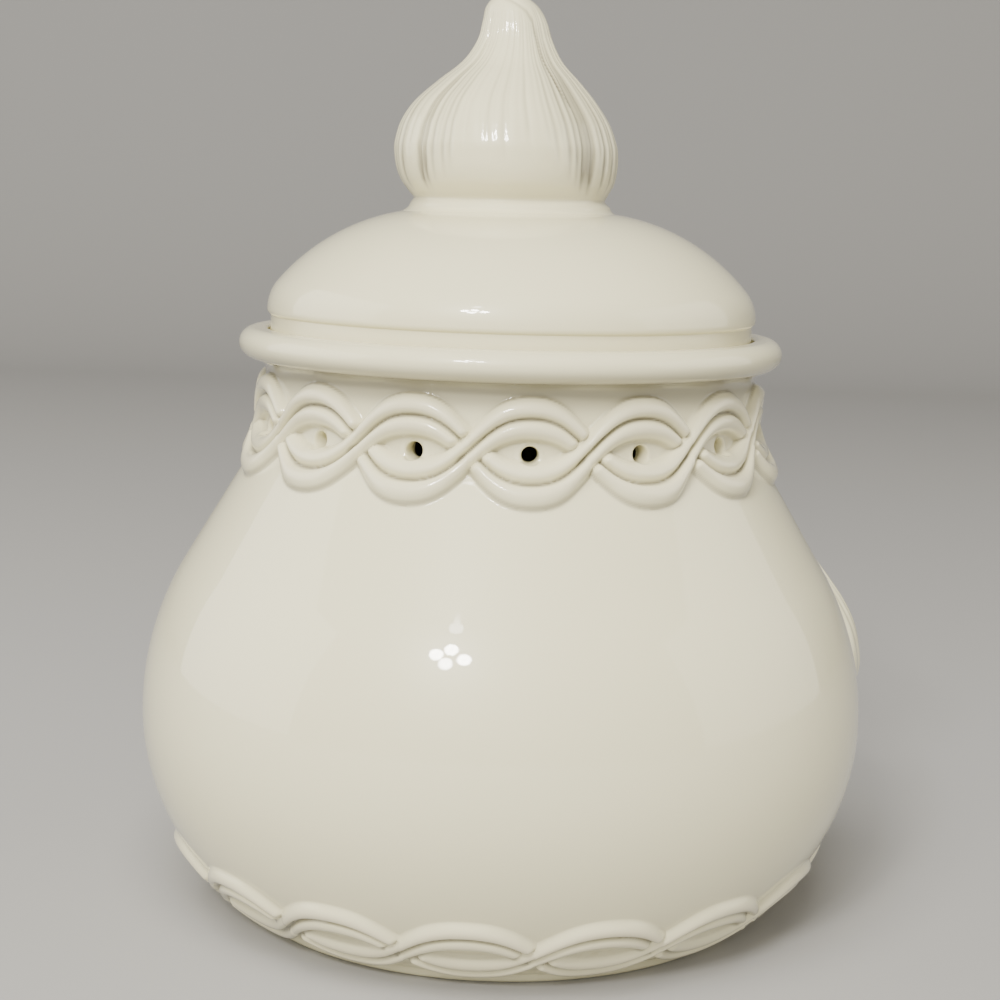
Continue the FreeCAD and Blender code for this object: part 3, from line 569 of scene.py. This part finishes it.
    kept = bench.add("GeometryNodeStoreNamedAttribute", {"data_type": "FLOAT", "domain": "POINT"},
                     {"Geometry": grid, "Name": "poolShade", "Value": poolShade})
    faceSquare = bench.add("GeometryNodeFieldOnDomain", {"domain": "FACE", "data_type": "FLOAT"}, {0: square})
    gone = (given["Hole"] - 0.4).above(faceSquare)
    holed = bench.add("GeometryNodeDeleteGeometry", {"domain": "FACE"}, {"Geometry": kept, "Selection": gone})
    placed = bench.add("GeometryNodeSetPosition", {}, {"Geometry": holed, "Position": spun})
    merged = bench.add("GeometryNodeMergeByDistance", {}, {"Geometry": placed, "Distance": 0.00002})
    real = bench.add("GeometryNodeRealizeInstances", {}, {0: merged})
    coated = bench.add("GeometryNodeSetMaterial", {}, {"Geometry": real, "Material": given["Material"]})
    leave = tree.nodes.new("NodeGroupOutput")
    tree.links.new(coated.socket, leave.inputs[0])
    return tree


plaitNodes = plaitTree()


def weavePlait(name, profile, sizes, ventAt, middleAt):
    mesh = bpy.data.meshes.new(name)
    mesh.from_pydata([(r, 0, z) for r, z in profile], [(i, i + 1) for i in range(len(profile) - 1)], [])
    guide = bpy.data.objects.new(name, mesh)
    bpy.context.scene.collection.objects.link(guide)
    length = sum(math.dist(a, b) for a, b in zip(profile, profile[1:]))
    ventRow = round(sizes["Rows"] * ventAt / length)
    values = dict(sizes)
    values.update({
        "Length": length, "Vent Length": ventAt, "Middle Length": middleAt, "Vent Row": ventRow,
        "Row Low": ventAt / ventRow, "Row High": (length - ventAt) / (sizes["Rows"] - ventRow),
    })
    modifier = guide.modifiers.new("plait", "NODES")
    modifier.node_group = plaitNodes
    for socket in plaitNodes.interface.items_tree:
        if socket.in_out == "INPUT" and socket.name in values:
            modifier[socket.identifier] = float(values[socket.name])
        if socket.name == "Material":
            modifier[socket.identifier] = ivoryGlaze
    bpy.context.view_layer.update()
    graph = bpy.context.evaluated_depsgraph_get()
    woven = bpy.data.meshes.new_from_object(guide.evaluated_get(graph))
    guide.modifiers.remove(modifier)
    bpy.data.objects.remove(guide)
    return woven


def lengthTo(profile, height):
    total = 0.0
    for a, b in zip(profile, profile[1:]):
        if b[1] >= height:
            return total + math.dist(a, b) * (height - a[1]) / (b[1] - a[1])
        total += math.dist(a, b)
    return total


def openLoops(verts):  # loops of open edges among these vertices
    left = dict.fromkeys(v for v in verts if any(len(e.link_faces) == 1 for e in v.link_edges))
    loops = []
    while left:
        loop = [left.popitem()[0]]       # a set has another order in each run, a dict hasn't
        growing = True
        while growing:
            growing = False
            for edge in loop[-1].link_edges:
                other = edge.other_vert(loop[-1])
                if len(edge.link_faces) == 1 and other in left:
                    del left[other]
                    loop.append(other)
                    growing = True
                    break
        loops.append(loop)
    return loops


# Joins two closed rings of different counts; each is a list of (turn, vertex), turns from 0 to 1.
def stitch(bm, near, far):
    near = sorted(near, key=lambda item: item[0])
    far = sorted(far, key=lambda item: item[0])
    n, m = len(near), len(far)
    i = j = 0
    while i < n or j < m:
        nextNear = near[(i + 1) % n][0] + (1 if i + 1 >= n else 0)
        nextFar = far[(j + 1) % m][0] + (1 if j + 1 >= m else 0)
        if j >= m or (i < n and nextNear <= nextFar):
            bm.faces.new((near[i % n][1], near[(i + 1) % n][1], far[j % m][1]))
            i += 1
        else:
            bm.faces.new((near[i % n][1], far[(j + 1) % m][1], far[j % m][1]))
            j += 1


def roundJar(v):
    return (math.atan2(v.co.x, -v.co.y) / (2 * math.pi)) % 1


vents = {
    # depth, radius of the bore, in millimetres
    "rings": [(0.15, 2.18), (0.35, 1.98), (0.6, 1.86), (1.4, 1.76), (3.3, 1.66), (4.5, 1.75), (4.85, 2.0)],
    "follow": 0.55,                      # how far the first rings keep the skin's own shape
}


def boreVents(bm, outer, inner):  # outer and inner: the holes' loops in the two skins
    def centre(loop):
        return sum((v.co for v in loop), Vector()) / len(loop)

    for loop in outer:
        middle = centre(loop)
        mate = min(inner, key=lambda other: (centre(other) - middle).length)
        axis = Vector((middle.x, middle.y, 0)).normalized()
        side = Vector((-axis.y, axis.x, 0))

        def clock(v):
            offset = v.co - middle
            return (math.atan2(offset.z, offset.dot(side)) / (2 * math.pi)) % 1

        ring = sorted(((clock(v), v) for v in loop), key=lambda item: item[0])
        start = middle.dot(axis)
        for depth, radius in vents["rings"]:
            fresh = []
            for turn, old in ring:
                a = 2 * math.pi * turn
                lift = (old.co.dot(axis) - start) * (vents["follow"] if depth < 1 else 0.0)
                spot = middle + (side * math.cos(a) + Vector((0, 0, 1)) * math.sin(a)) * radius * mm
                fresh.append((turn, bm.verts.new(spot + axis * (lift - depth * mm))))
            stitch(bm, ring, fresh)
            ring = fresh
        stitch(bm, ring, [(clock(v), v) for v in mate])


def makeNeckPlait():
    sizes = plaits["neck"]
    seam = pot["neckSeam"]
    middle, high = pot["sweepCentre"]
    cove = pot["coveCentre"][1]

    def sweep(radius, inset, step, pitch):  # up the cone and round to the upright neck
        joint = (middle - radius * math.cos(lean), high - radius * math.sin(lean))
        return chain(run((coneRadius(seam, inset), seam), joint, step),
                     arc(pot["sweepCentre"], radius, 180 + pot["lean"], 180, pitch))

    radius = pot["sweepRadius"]
    neck = middle - radius
    outside = chain(sweep(radius, 0.0, 0.4, 0.35), run((neck, high), (neck, cove), 0.4),
                    arc(pot["coveCentre"], pot["cove"], 180, pot["coveEnd"], 0.2))
    inside = chain(sweep(radius + pot["wall"], pot["wall"], 0.8, 0.6),
                   run((rim["bore"], high), (rim["bore"], pot["rimSeam"]), 0.8))

    def weave(name, profile, given):
        return weavePlait(name, profile, given, lengthTo(profile, given["Vent Height"]),
                          lengthTo(profile, given["Middle"]))

    skin = weave("neckPlaitOuter", outside, sizes)
    plain = dict(sizes)
    plain.update({"Columns": 24, "Rows": 28, "Hole": 2.0, "Blend To": 6.0, "Rise": 0.0, "Swing": 0.0})
    lining = weave("neckPlaitInner", inside, plain)
    bm = bmesh.new()
    bm.from_mesh(skin)
    count = len(bm.verts)
    bm.from_mesh(lining)
    bm.verts.ensure_lookup_table()
    outerLoops = openLoops(bm.verts[:count])
    innerLoops = openLoops(bm.verts[count:])
    ventMost = 100                       # a vent's loop has fewer vertices, the neck's own more
    outerRings = sorted((l for l in outerLoops if len(l) > ventMost), key=lambda l: l[0].co.z)
    innerRings = sorted((l for l in innerLoops if len(l) > ventMost), key=lambda l: l[0].co.z)
    for near, far in zip(outerRings, innerRings):
        stitch(bm, [(roundJar(v), v) for v in near], [(roundJar(v), v) for v in far])
    boreVents(bm, *([l for l in loops if len(l) <= ventMost] for loops in (outerLoops, innerLoops)))
    return plainPiece("neckPlait", bm, "jar_body", "neck_braid", 50)


def makeFootPlait():
    sizes = plaits["foot"]
    low, high = pot["footBand"]
    outside = arc(pot["lowerCentre"], pot["lowerRadius"], -low, -high, 0.3)
    middle = pot["lowerRadius"] * (math.radians(low) - footAngle)
    skin = weavePlait("footPlaitOuter", outside, sizes, middle, middle)
    back = arc(pot["lowerCentre"], pot["lowerRadius"] - pot["bandBack"], -low, -high, 2.0)
    bm = bmesh.new()
    bm.from_mesh(skin)
    bm.verts.ensure_lookup_table()
    rings = sorted(openLoops(bm.verts), key=lambda l: l[0].co.z)
    columns = 240                        # of the plain back
    last = [(roundJar(v), v) for v in rings[0]]
    for radius, height in back:
        fresh = []
        for i in range(columns):
            a = 2 * math.pi * i / columns
            spot = (radius * math.sin(a) * mm, -radius * math.cos(a) * mm, height * mm)
            fresh.append((i / columns, bm.verts.new(spot)))
        stitch(bm, last, fresh)
        last = fresh
    stitch(bm, last, [(roundJar(v), v) for v in rings[-1]])
    return plainPiece("footPlait", bm, "jar_body", "foot_braid", 50)


makeNeckPlait()
makeFootPlait()


sprig = {
    "angle": 105.0, "height": 59.0, "columns": 88, "rows": 130,
    "sunk": 0.7, "back": 1.6,            # its edge and its back, below the wall
    "fade": (7, 6),                      # how soon the furrows run out, below and above
    "dome": (2.3, 0.55),                 # how full its section is
    # along the wall from the middle, half width, height above the wall
    "stations": [(-13.6, 1.2, 0.3), (-12.8, 6.5, 2.2), (-9.5, 13.8, 4.4), (-4.5, 18.2, 5.6), (0.0, 19.0, 5.8),
                 (5.0, 17.4, 5.8), (10.0, 13.0, 5.3), (15.0, 8.4, 4.3), (20.0, 5.6, 3.4), (27.0, 4.6, 2.8),
                 (32.0, 4.3, 2.4), (34.0, 3.2, 1.4), (34.8, 1.0, 0.3)],
    "furrows": [(-0.82, 0.5), (-0.63, 0.8), (-0.42, 0.5), (-0.2, 0.9), (0.03, 0.55), (0.26, 0.8), (0.48, 0.5),
                (0.66, 0.85), (0.84, 0.5)],
    "furrowDepth": 0.55, "furrowWidth": 0.045,
}


def alongTable(table, x, column):  # smooth curve through a table's rows, by their first value
    for k in range(len(table) - 1):
        if x <= table[k + 1][0] or k == len(table) - 2:
            break
    a, b = table[k], table[k + 1]
    before = table[max(k - 1, 0)]
    after = table[min(k + 2, len(table) - 1)]
    t = within((x - a[0]) / (b[0] - a[0]))
    gap = b[0] - a[0]
    slopeA = (b[column] - before[column]) / (b[0] - before[0]) * gap
    slopeB = (after[column] - a[column]) / (after[0] - a[0]) * gap
    t2, t3 = t * t, t * t * t
    return ((2 * t3 - 3 * t2 + 1) * a[column] + (t3 - 2 * t2 + t) * slopeA
            + (3 * t2 - 2 * t3) * b[column] + (t3 - t2) * slopeB)


def makeSprig():
    table = sprig["stations"]
    first, last = table[0][0], table[-1][0]
    face = math.radians(sprig["angle"])
    shoulder = pot["shoulderRadius"]
    start = math.asin((sprig["height"] - belly) / shoulder)
    fadeLow, fadeHigh = sprig["fade"]
    square, full = sprig["dome"]
    bm = bmesh.new()
    layer = bm.verts.layers.float.new("poolShade")

    def onWall(across, along, rise):
        slope = start + along / shoulder
        tilt = min(slope, lean)
        over = max(0.0, slope - lean) * shoulder
        ring = axisShift + shoulder * math.cos(tilt) - over * math.sin(lean)
        height = belly + shoulder * math.sin(tilt) + over * math.cos(lean)
        a = face + across / ring
        out = ring + rise * math.cos(tilt)
        return Vector((out * math.sin(a), -out * math.cos(a), height + rise * math.sin(tilt))) * mm

    top, under = [], []
    for row in range(sprig["rows"] + 1):
        along = first + (last - first) * row / sprig["rows"]
        wide = max(0.4, alongTable(table, along, 1))
        high = max(0.0, alongTable(table, along, 2))
        fade = within((along - first) / fadeLow) * within((last - along) / fadeHigh)
        topRow, underRow = [], []
        for column in range(sprig["columns"] + 1):
            t = 2 * column / sprig["columns"] - 1
            t = math.sin(t * math.pi / 2)
            dome = max(0.0, 1 - abs(t) ** square) ** full * high
            furrow = sum(strength * math.exp(-((t - place) / sprig["furrowWidth"]) ** 2)
                         for place, strength in sprig["furrows"]) * fade
            rise = dome - furrow * sprig["furrowDepth"] * min(1.0, dome / 1.5)
            rise -= sprig["sunk"] * (1 - dome / 7)
            vert = bm.verts.new(onWall(t * wide, along, rise))
            # glaze pooled in the furrows, with painted shade there
            vert[layer] = furrow * 0.9 - 0.15
            topRow.append(vert)
            if 0 < column < sprig["columns"] and 0 < row < sprig["rows"]:
                underRow.append(bm.verts.new(onWall(t * wide, along, -sprig["back"])))
            else:
                underRow.append(vert)
        top.append(topRow)
        under.append(underRow)
    for low, high in zip(top, top[1:]):
        for a, b, c, d in zip(low, low[1:], high[1:], high):
            bm.faces.new((a, b, c, d))
    for low, high in zip(under, under[1:]):
        for a, b, c, d in zip(low, low[1:], high[1:], high):
            corners = list(dict.fromkeys((d, c, b, a)))
            if len(corners) > 2 and not (a in top[0] and d in top[0]):
                bm.faces.new(corners)
    return plainPiece("garlicSprig", bm, "jar_body", "garlic_sprig", 60)


makeSprig()


lid = {
    "ledge": 132.3, "band": 55.3, "wall": 4.5, "overhang": 0.8, "widest": 6.0, "roll": 1.5, "edge": 10.0,
    "dome": 48.0, "rise": 29.1, "land": 23.4, "flange": 50.3, "flangeWall": 4.0, "flangeDepth": 8.0,
    "flangeRoot": 1.5, "flangeRound": 0.7, "bandRound": 0.35, "columns": 320,
}


def makeLid():
    ledge = lid["ledge"]
    wide = lid["band"] + lid["overhang"]
    wideZ = ledge + lid["widest"]
    seat = ledge + lid["rise"]
    land = lid["land"]
    edgeX = wide - lid["edge"]
    gap = math.hypot(edgeX - land, wideZ - seat)
    bearing = math.atan2(wideZ - seat, edgeX - land)
    reach = lid["dome"] - lid["edge"]
    swing = math.acos((lid["dome"] ** 2 + gap ** 2 - reach ** 2) / (2 * lid["dome"] * gap))
    centre = (land + lid["dome"] * math.cos(bearing - swing), seat + lid["dome"] * math.sin(bearing - swing))
    join = math.degrees(math.atan2(wideZ - centre[1], edgeX - centre[0]))
    last = math.degrees(math.atan2(seat - centre[1], land - centre[0]))
    roll = lid["roll"]
    crease = math.degrees(math.acos((lid["band"] - wide + roll) / roll))
    roof = seat - lid["wall"]
    thin = lid["dome"] - lid["wall"]
    innerLast = math.degrees(math.asin((roof - centre[1]) / thin))
    bore = lid["flange"] - lid["flangeWall"]
    deep = ledge - lid["flangeDepth"]
    flange, soft = lid["flange"], lid["flangeRound"]
    root = ledge + lid["flangeRoot"]
    band, edge = lid["band"], lid["bandRound"]
    outline = chain(
        [(0.0, roof)], run((3.0, roof), (centre[0] + thin * math.cos(math.radians(innerLast)), roof), 5.0),
        arc(centre, thin, innerLast, join, 1.6), arc((edgeX, wideZ), lid["edge"] - lid["wall"], join, 0, 0.9),
        run((wide - lid["wall"], wideZ), (bore, root), 1.8), run((bore, root), (bore, deep + soft), 2.0),
        arc((bore + soft, deep + soft), soft, 180, 270, 0.25),
        run((bore + soft, deep), (flange - soft, deep), 1.3),
        arc((flange - soft, deep + soft), soft, -90, 0, 0.25),
        run((flange, deep + soft), (flange, ledge), 2.0), run((flange, ledge), (band - edge, ledge), 1.6),
        arc((band - edge, ledge + edge), edge, -90, 0, 0.15),
        run((band, ledge + edge), (band, wideZ - roll * math.sin(math.radians(crease))), 0.6),
        arc((wide - roll, wideZ), roll, -crease, 0, 0.25),
        arc((edgeX, wideZ), lid["edge"], 0, join, 0.5), arc(centre, lid["dome"], join, last, 0.8),
        run((land, seat), (3.0, seat), 4.0), [(0.0, seat)],
    )
    return plainPiece("lidShell", lathe(outline, lid["columns"], False), "lid_body", "lid")


makeLid()


knob = {
    "columns": 384, "rows": 168, "seed": 11,
    # height, radius, sideways shift of the middle
    "stations": [(160.4, 25.4, -0.8), (161.0, 24.9, -0.9), (161.5, 24.0, -1.0), (162.1, 23.3, -1.0),
                 (162.9, 22.9, -1.0), (163.5, 22.4, -1.1),
                 (164.1, 21.9, -1.2), (165.6, 22.8, -1.6), (168.0, 24.2, -2.0), (171.0, 25.1, -2.3),
                 (174.6, 25.45, -2.5), (176.8, 25.25, -2.6), (181.3, 23.75, -2.75), (185.9, 20.7, -2.7),
                 (190.5, 16.2, -2.0), (195.1, 11.25, -1.25), (199.7, 8.5, -0.9), (204.0, 7.25, -1.05),
                 (207.0, 6.1, -1.6), (208.9, 4.3, -2.0), (209.7, 2.6, -2.1), (210.0, 0.0, -2.1)],
    # angle, depth, width in degrees, height where it ends, of the furrows on the front
    "furrows": [(-79, 0.46, 1.5, 166), (-72, 0.22, 1.2, 170), (-66.7, 0.52, 1.4, 165), (-58, 0.14, 1.6, 170),
                (-49.6, 0.66, 1.2, 164), (-45.8, 0.52, 1.0, 165), (-40.2, 0.40, 1.0, 167),
                (-36.8, 0.20, 0.9, 170), (-33.4, 0.36, 1.0, 168), (-28.8, 0.34, 1.1, 169),
                (-23.4, 0.14, 1.0, 173), (-19.0, 0.18, 1.6, 172), (-12.2, 0.12, 1.4, 175),
                (-6.9, 0.26, 1.2, 172), (-3.4, 0.12, 0.9, 176), (2.0, 0.26, 1.1, 171), (5.0, 0.14, 0.9, 175),
                (10.4, 0.12, 1.2, 174), (14.9, 0.26, 1.2, 173), (21.0, 0.14, 1.2, 175),
                (25.0, 0.20, 1.0, 172), (28.8, 0.32, 1.1, 170), (32.4, 0.18, 0.9, 172),
                (35.7, 0.42, 1.1, 168), (40.2, 0.36, 1.0, 167), (44.6, 0.60, 1.5, 165),
                (47.6, 0.30, 0.9, 166), (50.8, 0.62, 1.5, 164), (57.0, 0.16, 1.2, 169),
                (61.5, 0.50, 1.3, 165), (66.4, 0.18, 1.0, 170), (70.9, 0.46, 1.2, 165),
                (80, 0.36, 1.5, 166)],
    # the back's are drawn between these angles, with these gaps in degrees
    "back": (86.0, 276.0), "backGaps": (3.6, 4.4, 6.0, 8.5, 11.0),
    "backDepth": (0.12, 0.6), "backWidth": (1.0, 1.7), "backEnd": (164, 174),
    # angle and height along the edge of the papery skin folded over the tip
    "fold": [(-16, 208.6), (0, 208.0), (16, 207.0), (28, 205.6), (35, 203.4), (38, 199.0), (39, 194.0),
             (41, 189.0), (44, 184.0)],
    "foldDepth": 0.42, "foldWidth": 0.55, "foldFrom": 183.0,
    "lobes": [(5, 0.24, 0.8), (3, 0.20, 2.4)],   # how many round the knob, height, turn
    "furrowDeep": 1.25, "furrowPoolShade": 2.3,
    "neck": 164.2, "tip": 207.5,         # lobes and furrows run out towards these heights
}


def knobFurrows():
    dice = random.Random(knob["seed"])
    furrows = list(knob["furrows"])
    angle, last = knob["back"]
    while angle < last:
        drawn = (dice.uniform(*knob[key]) for key in ("backDepth", "backWidth", "backEnd"))
        furrows.append((angle, *drawn))
        angle += dice.choice(knob["backGaps"])
    return furrows


def knobFold(bySpan):  # points in space along the fold
    points = []
    for (a, low), (b, high) in zip(knob["fold"], knob["fold"][1:]):
        for t in range(6):
            angle = math.radians(a + (b - a) * t / 6)
            height = low + (high - low) * t / 6
            ring = min(bySpan, key=lambda row: abs(row[1] - height))
            below = max((row for row in bySpan if row[1] <= height), key=lambda row: row[1], default=ring)
            above = min((row for row in bySpan if row[1] > height), key=lambda row: row[1], default=ring)
            share = (height - below[1]) / max(0.001, above[1] - below[1])
            radius = below[2] + (above[2] - below[2]) * share
            middle = below[3] + (above[3] - below[3]) * share
            points.append(Vector((middle + radius * math.sin(angle), -radius * math.cos(angle), height)))
    return points


def makeKnob():
    table = knob["stations"]
    lengths = [0.0]
    for a, b in zip(table, table[1:]):
        lengths.append(lengths[-1] + math.dist(a[:2], b[:2]))
    bySpan = [(length, *row) for length, row in zip(lengths, table)]
    furrows = knobFurrows()
    columns, rows = knob["columns"], knob["rows"]
    bm = bmesh.new()
    layer = bm.verts.layers.float.new("poolShade")
    fold = knobFold(bySpan)
    lines = []
    for i in range(columns):
        degrees = 360 * i / columns
        line = []
        for angle, depth, width, end in furrows:
            away = abs((degrees - angle + 180) % 360 - 180)
            if away < 9 * width:
                narrow = math.exp(-(away / width) ** 2)
                broad = math.exp(-(away / (3.2 * width)) ** 2)
                line.append((depth * (0.72 * narrow + 0.28 * broad), end))
        lines.append(line)
    rings = []
    for row in range(rows):
        span = lengths[-1] * row / rows
        height = alongTable(bySpan, span, 1)
        radius = alongTable(bySpan, span, 2)
        middle = alongTable(bySpan, span, 3)
        fade = within((height - knob["neck"]) / 4) * within((knob["tip"] - height) / 18) ** 0.7
        profile = [sum(depth * within((height - end) / 7) for depth, end in line) for line in lines]
        ring = []
        for i in range(columns):
            a = 2 * math.pi * i / columns
            # furrows lean a little to one side and back
            twist = 0.05 * math.sin((height - 164) / 45 * math.pi) * math.sin(3 * a + 1.1)
            sway = (math.degrees(twist) / 360 * columns + i) % columns
            j = int(sway)
            depth = profile[j % columns] * (1 - sway + j) + profile[(j + 1) % columns] * (sway - j)
            lobes = sum(tall * math.sin(count * a + turn) for count, tall, turn in knob["lobes"])
            out = radius + (lobes * min(1.0, radius / 20) - depth * knob["furrowDeep"] + 0.16) * fade
            crease = 0.0
            if height > knob["foldFrom"]:
                spot = Vector((middle + radius * math.sin(a), -radius * math.cos(a), height))
                near = min((spot - point).length for point in fold)
                crease = math.exp(-(near / knob["foldWidth"]) ** 2)
                crease *= min(1.0, (height - knob["foldFrom"]) / 6)
                out -= crease * knob["foldDepth"]
            vert = bm.verts.new(((middle + out * math.sin(a)) * mm, -out * math.cos(a) * mm, height * mm))
            # painted shade under the bulb near its base; glaze pooled in the furrows and along the fold, with
            # painted shade there too
            under = within((177 - height) / 12) * within((height - 163) / 2)
            furrow = min(depth * knob["furrowPoolShade"], 0.95) - 0.10
            vert[layer] = furrow * fade + crease * 0.6 + under * 0.5
            ring.append(vert)
        rings.append(ring)
    tip = bm.verts.new((table[-1][2] * mm, 0, table[-1][0] * mm))
    base = bm.verts.new((table[0][2] * mm, 0, table[0][0] * mm))
    for low, high in zip(rings, rings[1:]):
        for i in range(columns):
            j = (i + 1) % columns
            bm.faces.new((low[i], low[j], high[j], high[i]))
    for i in range(columns):
        j = (i + 1) % columns
        bm.faces.new((rings[-1][i], rings[-1][j], tip))
        bm.faces.new((rings[0][j], rings[0][i], base))
    return plainPiece("garlicKnob", bm, "lid_body", "garlic_knob", 60)


makeKnob()


studio = {
    "floor": (0.36, 0.355, 0.345),
    "sweep": (1.3, 0.5),                 # where the backdrop begins to rise, and its radius
    "world": (0.64, 0.62, 0.58), "worldStrength": 0.34,
    # name, azimuth, elevation, distance in metres, size, watts, colour
    "boxes": [
        ("leftBox", -92, 14, 1.9, (2.0, 1.6), 20.0, (1.0, 0.965, 0.90)),
        ("rightBox", 90, 14, 1.9, (2.0, 1.6), 14.0, (1.0, 0.945, 0.86)),
    ],
    # these light the glaze without being mirrored in it
    "fills": [
        ("ceiling", -14, 60, 1.7, (1.1, 0.9), 39.0, (1.0, 0.975, 0.92)),
        ("front", -10, 22, 2.3, (1.8, 1.2), 31.0, (1.0, 0.97, 0.90)),
    ],
    # a cluster of bulbs, mirrored in the glaze: degrees across and up from the middle one, share of the watts
    "bulbs": {"azimuth": -18.0, "elevation": 36.5, "distance": 1.5, "size": 0.105, "watts": 4.0,
              "cluster": [(0.0, 0.0, 1.0), (-4.9, -2.4, 1.0), (-1.0, -5.3, 0.8), (5.1, -3.1, 1.0),
                          (-0.4, 8.1, 0.15)]},
}


def lightStudio():
    middle = Vector((0, 0, 0.1))
    bulbs = studio["bulbs"]
    lamps = studio["boxes"] + studio["fills"]
    unseen = [fill[0] for fill in studio["fills"]]
    for i, (across, up, share) in enumerate(bulbs["cluster"]):
        lamps.append((f"bulb{i + 1}", bulbs["azimuth"] + across, bulbs["elevation"] + up, bulbs["distance"],
                      (bulbs["size"],) * 2, bulbs["watts"] * share, (1.0, 0.97, 0.92)))
    for name, azimuth, rise, away, size, watts, colour in lamps:
        lamp = bpy.data.lights.new(name, "AREA")
        lamp.shape = "DISK" if name.startswith("bulb") else "RECTANGLE"
        lamp.size, lamp.size_y = size
        lamp.energy = watts
        lamp.color = colour
        box = bpy.data.objects.new(name, lamp)
        a, e = math.radians(azimuth), math.radians(rise)
        towards = Vector((math.sin(a) * math.cos(e), -math.cos(a) * math.cos(e), math.sin(e)))
        box.location = middle + towards * away
        box.rotation_euler = (-towards).to_track_quat("-Z", "Y").to_euler()
        box.visible_glossy = name not in unseen
        bpy.context.scene.collection.objects.link(box)
    world = bpy.data.worlds.new("studio")
    world.use_nodes = True
    back = world.node_tree.nodes["Background"]
    back.inputs["Color"].default_value = (*studio["world"], 1)
    back.inputs["Strength"].default_value = studio["worldStrength"]
    bpy.context.scene.world = world


def layFloor():
    material = bpy.data.materials.new("paleFloor")
    material.use_nodes = True
    shader = material.node_tree.nodes["Principled BSDF"]
    shader.inputs["Base Color"].default_value = (*studio["floor"], 1)
    shader.inputs["Roughness"].default_value = 0.8
    start, radius = studio["sweep"]
    side = [(-4.0, 0.0), (start, 0.0)]
    side += [(start + radius * math.sin(t * math.pi / 32), radius - radius * math.cos(t * math.pi / 32))
             for t in range(1, 17)]
    side.append((start + radius, 4.0))
    verts = [(x, y, z) for y, z in side for x in (-5.0, 5.0)]
    faces = [(2 * i, 2 * i + 1, 2 * i + 3, 2 * i + 2) for i in range(len(side) - 1)]
    mesh = bpy.data.meshes.new("floor")
    mesh.from_pydata(verts, [], faces)
    mesh.shade_smooth()
    mesh.materials.append(material)
    floor = bpy.data.objects.new("floor", mesh)
    bpy.context.scene.collection.objects.link(floor)


lightStudio()
layFloor()
print("studio lit")
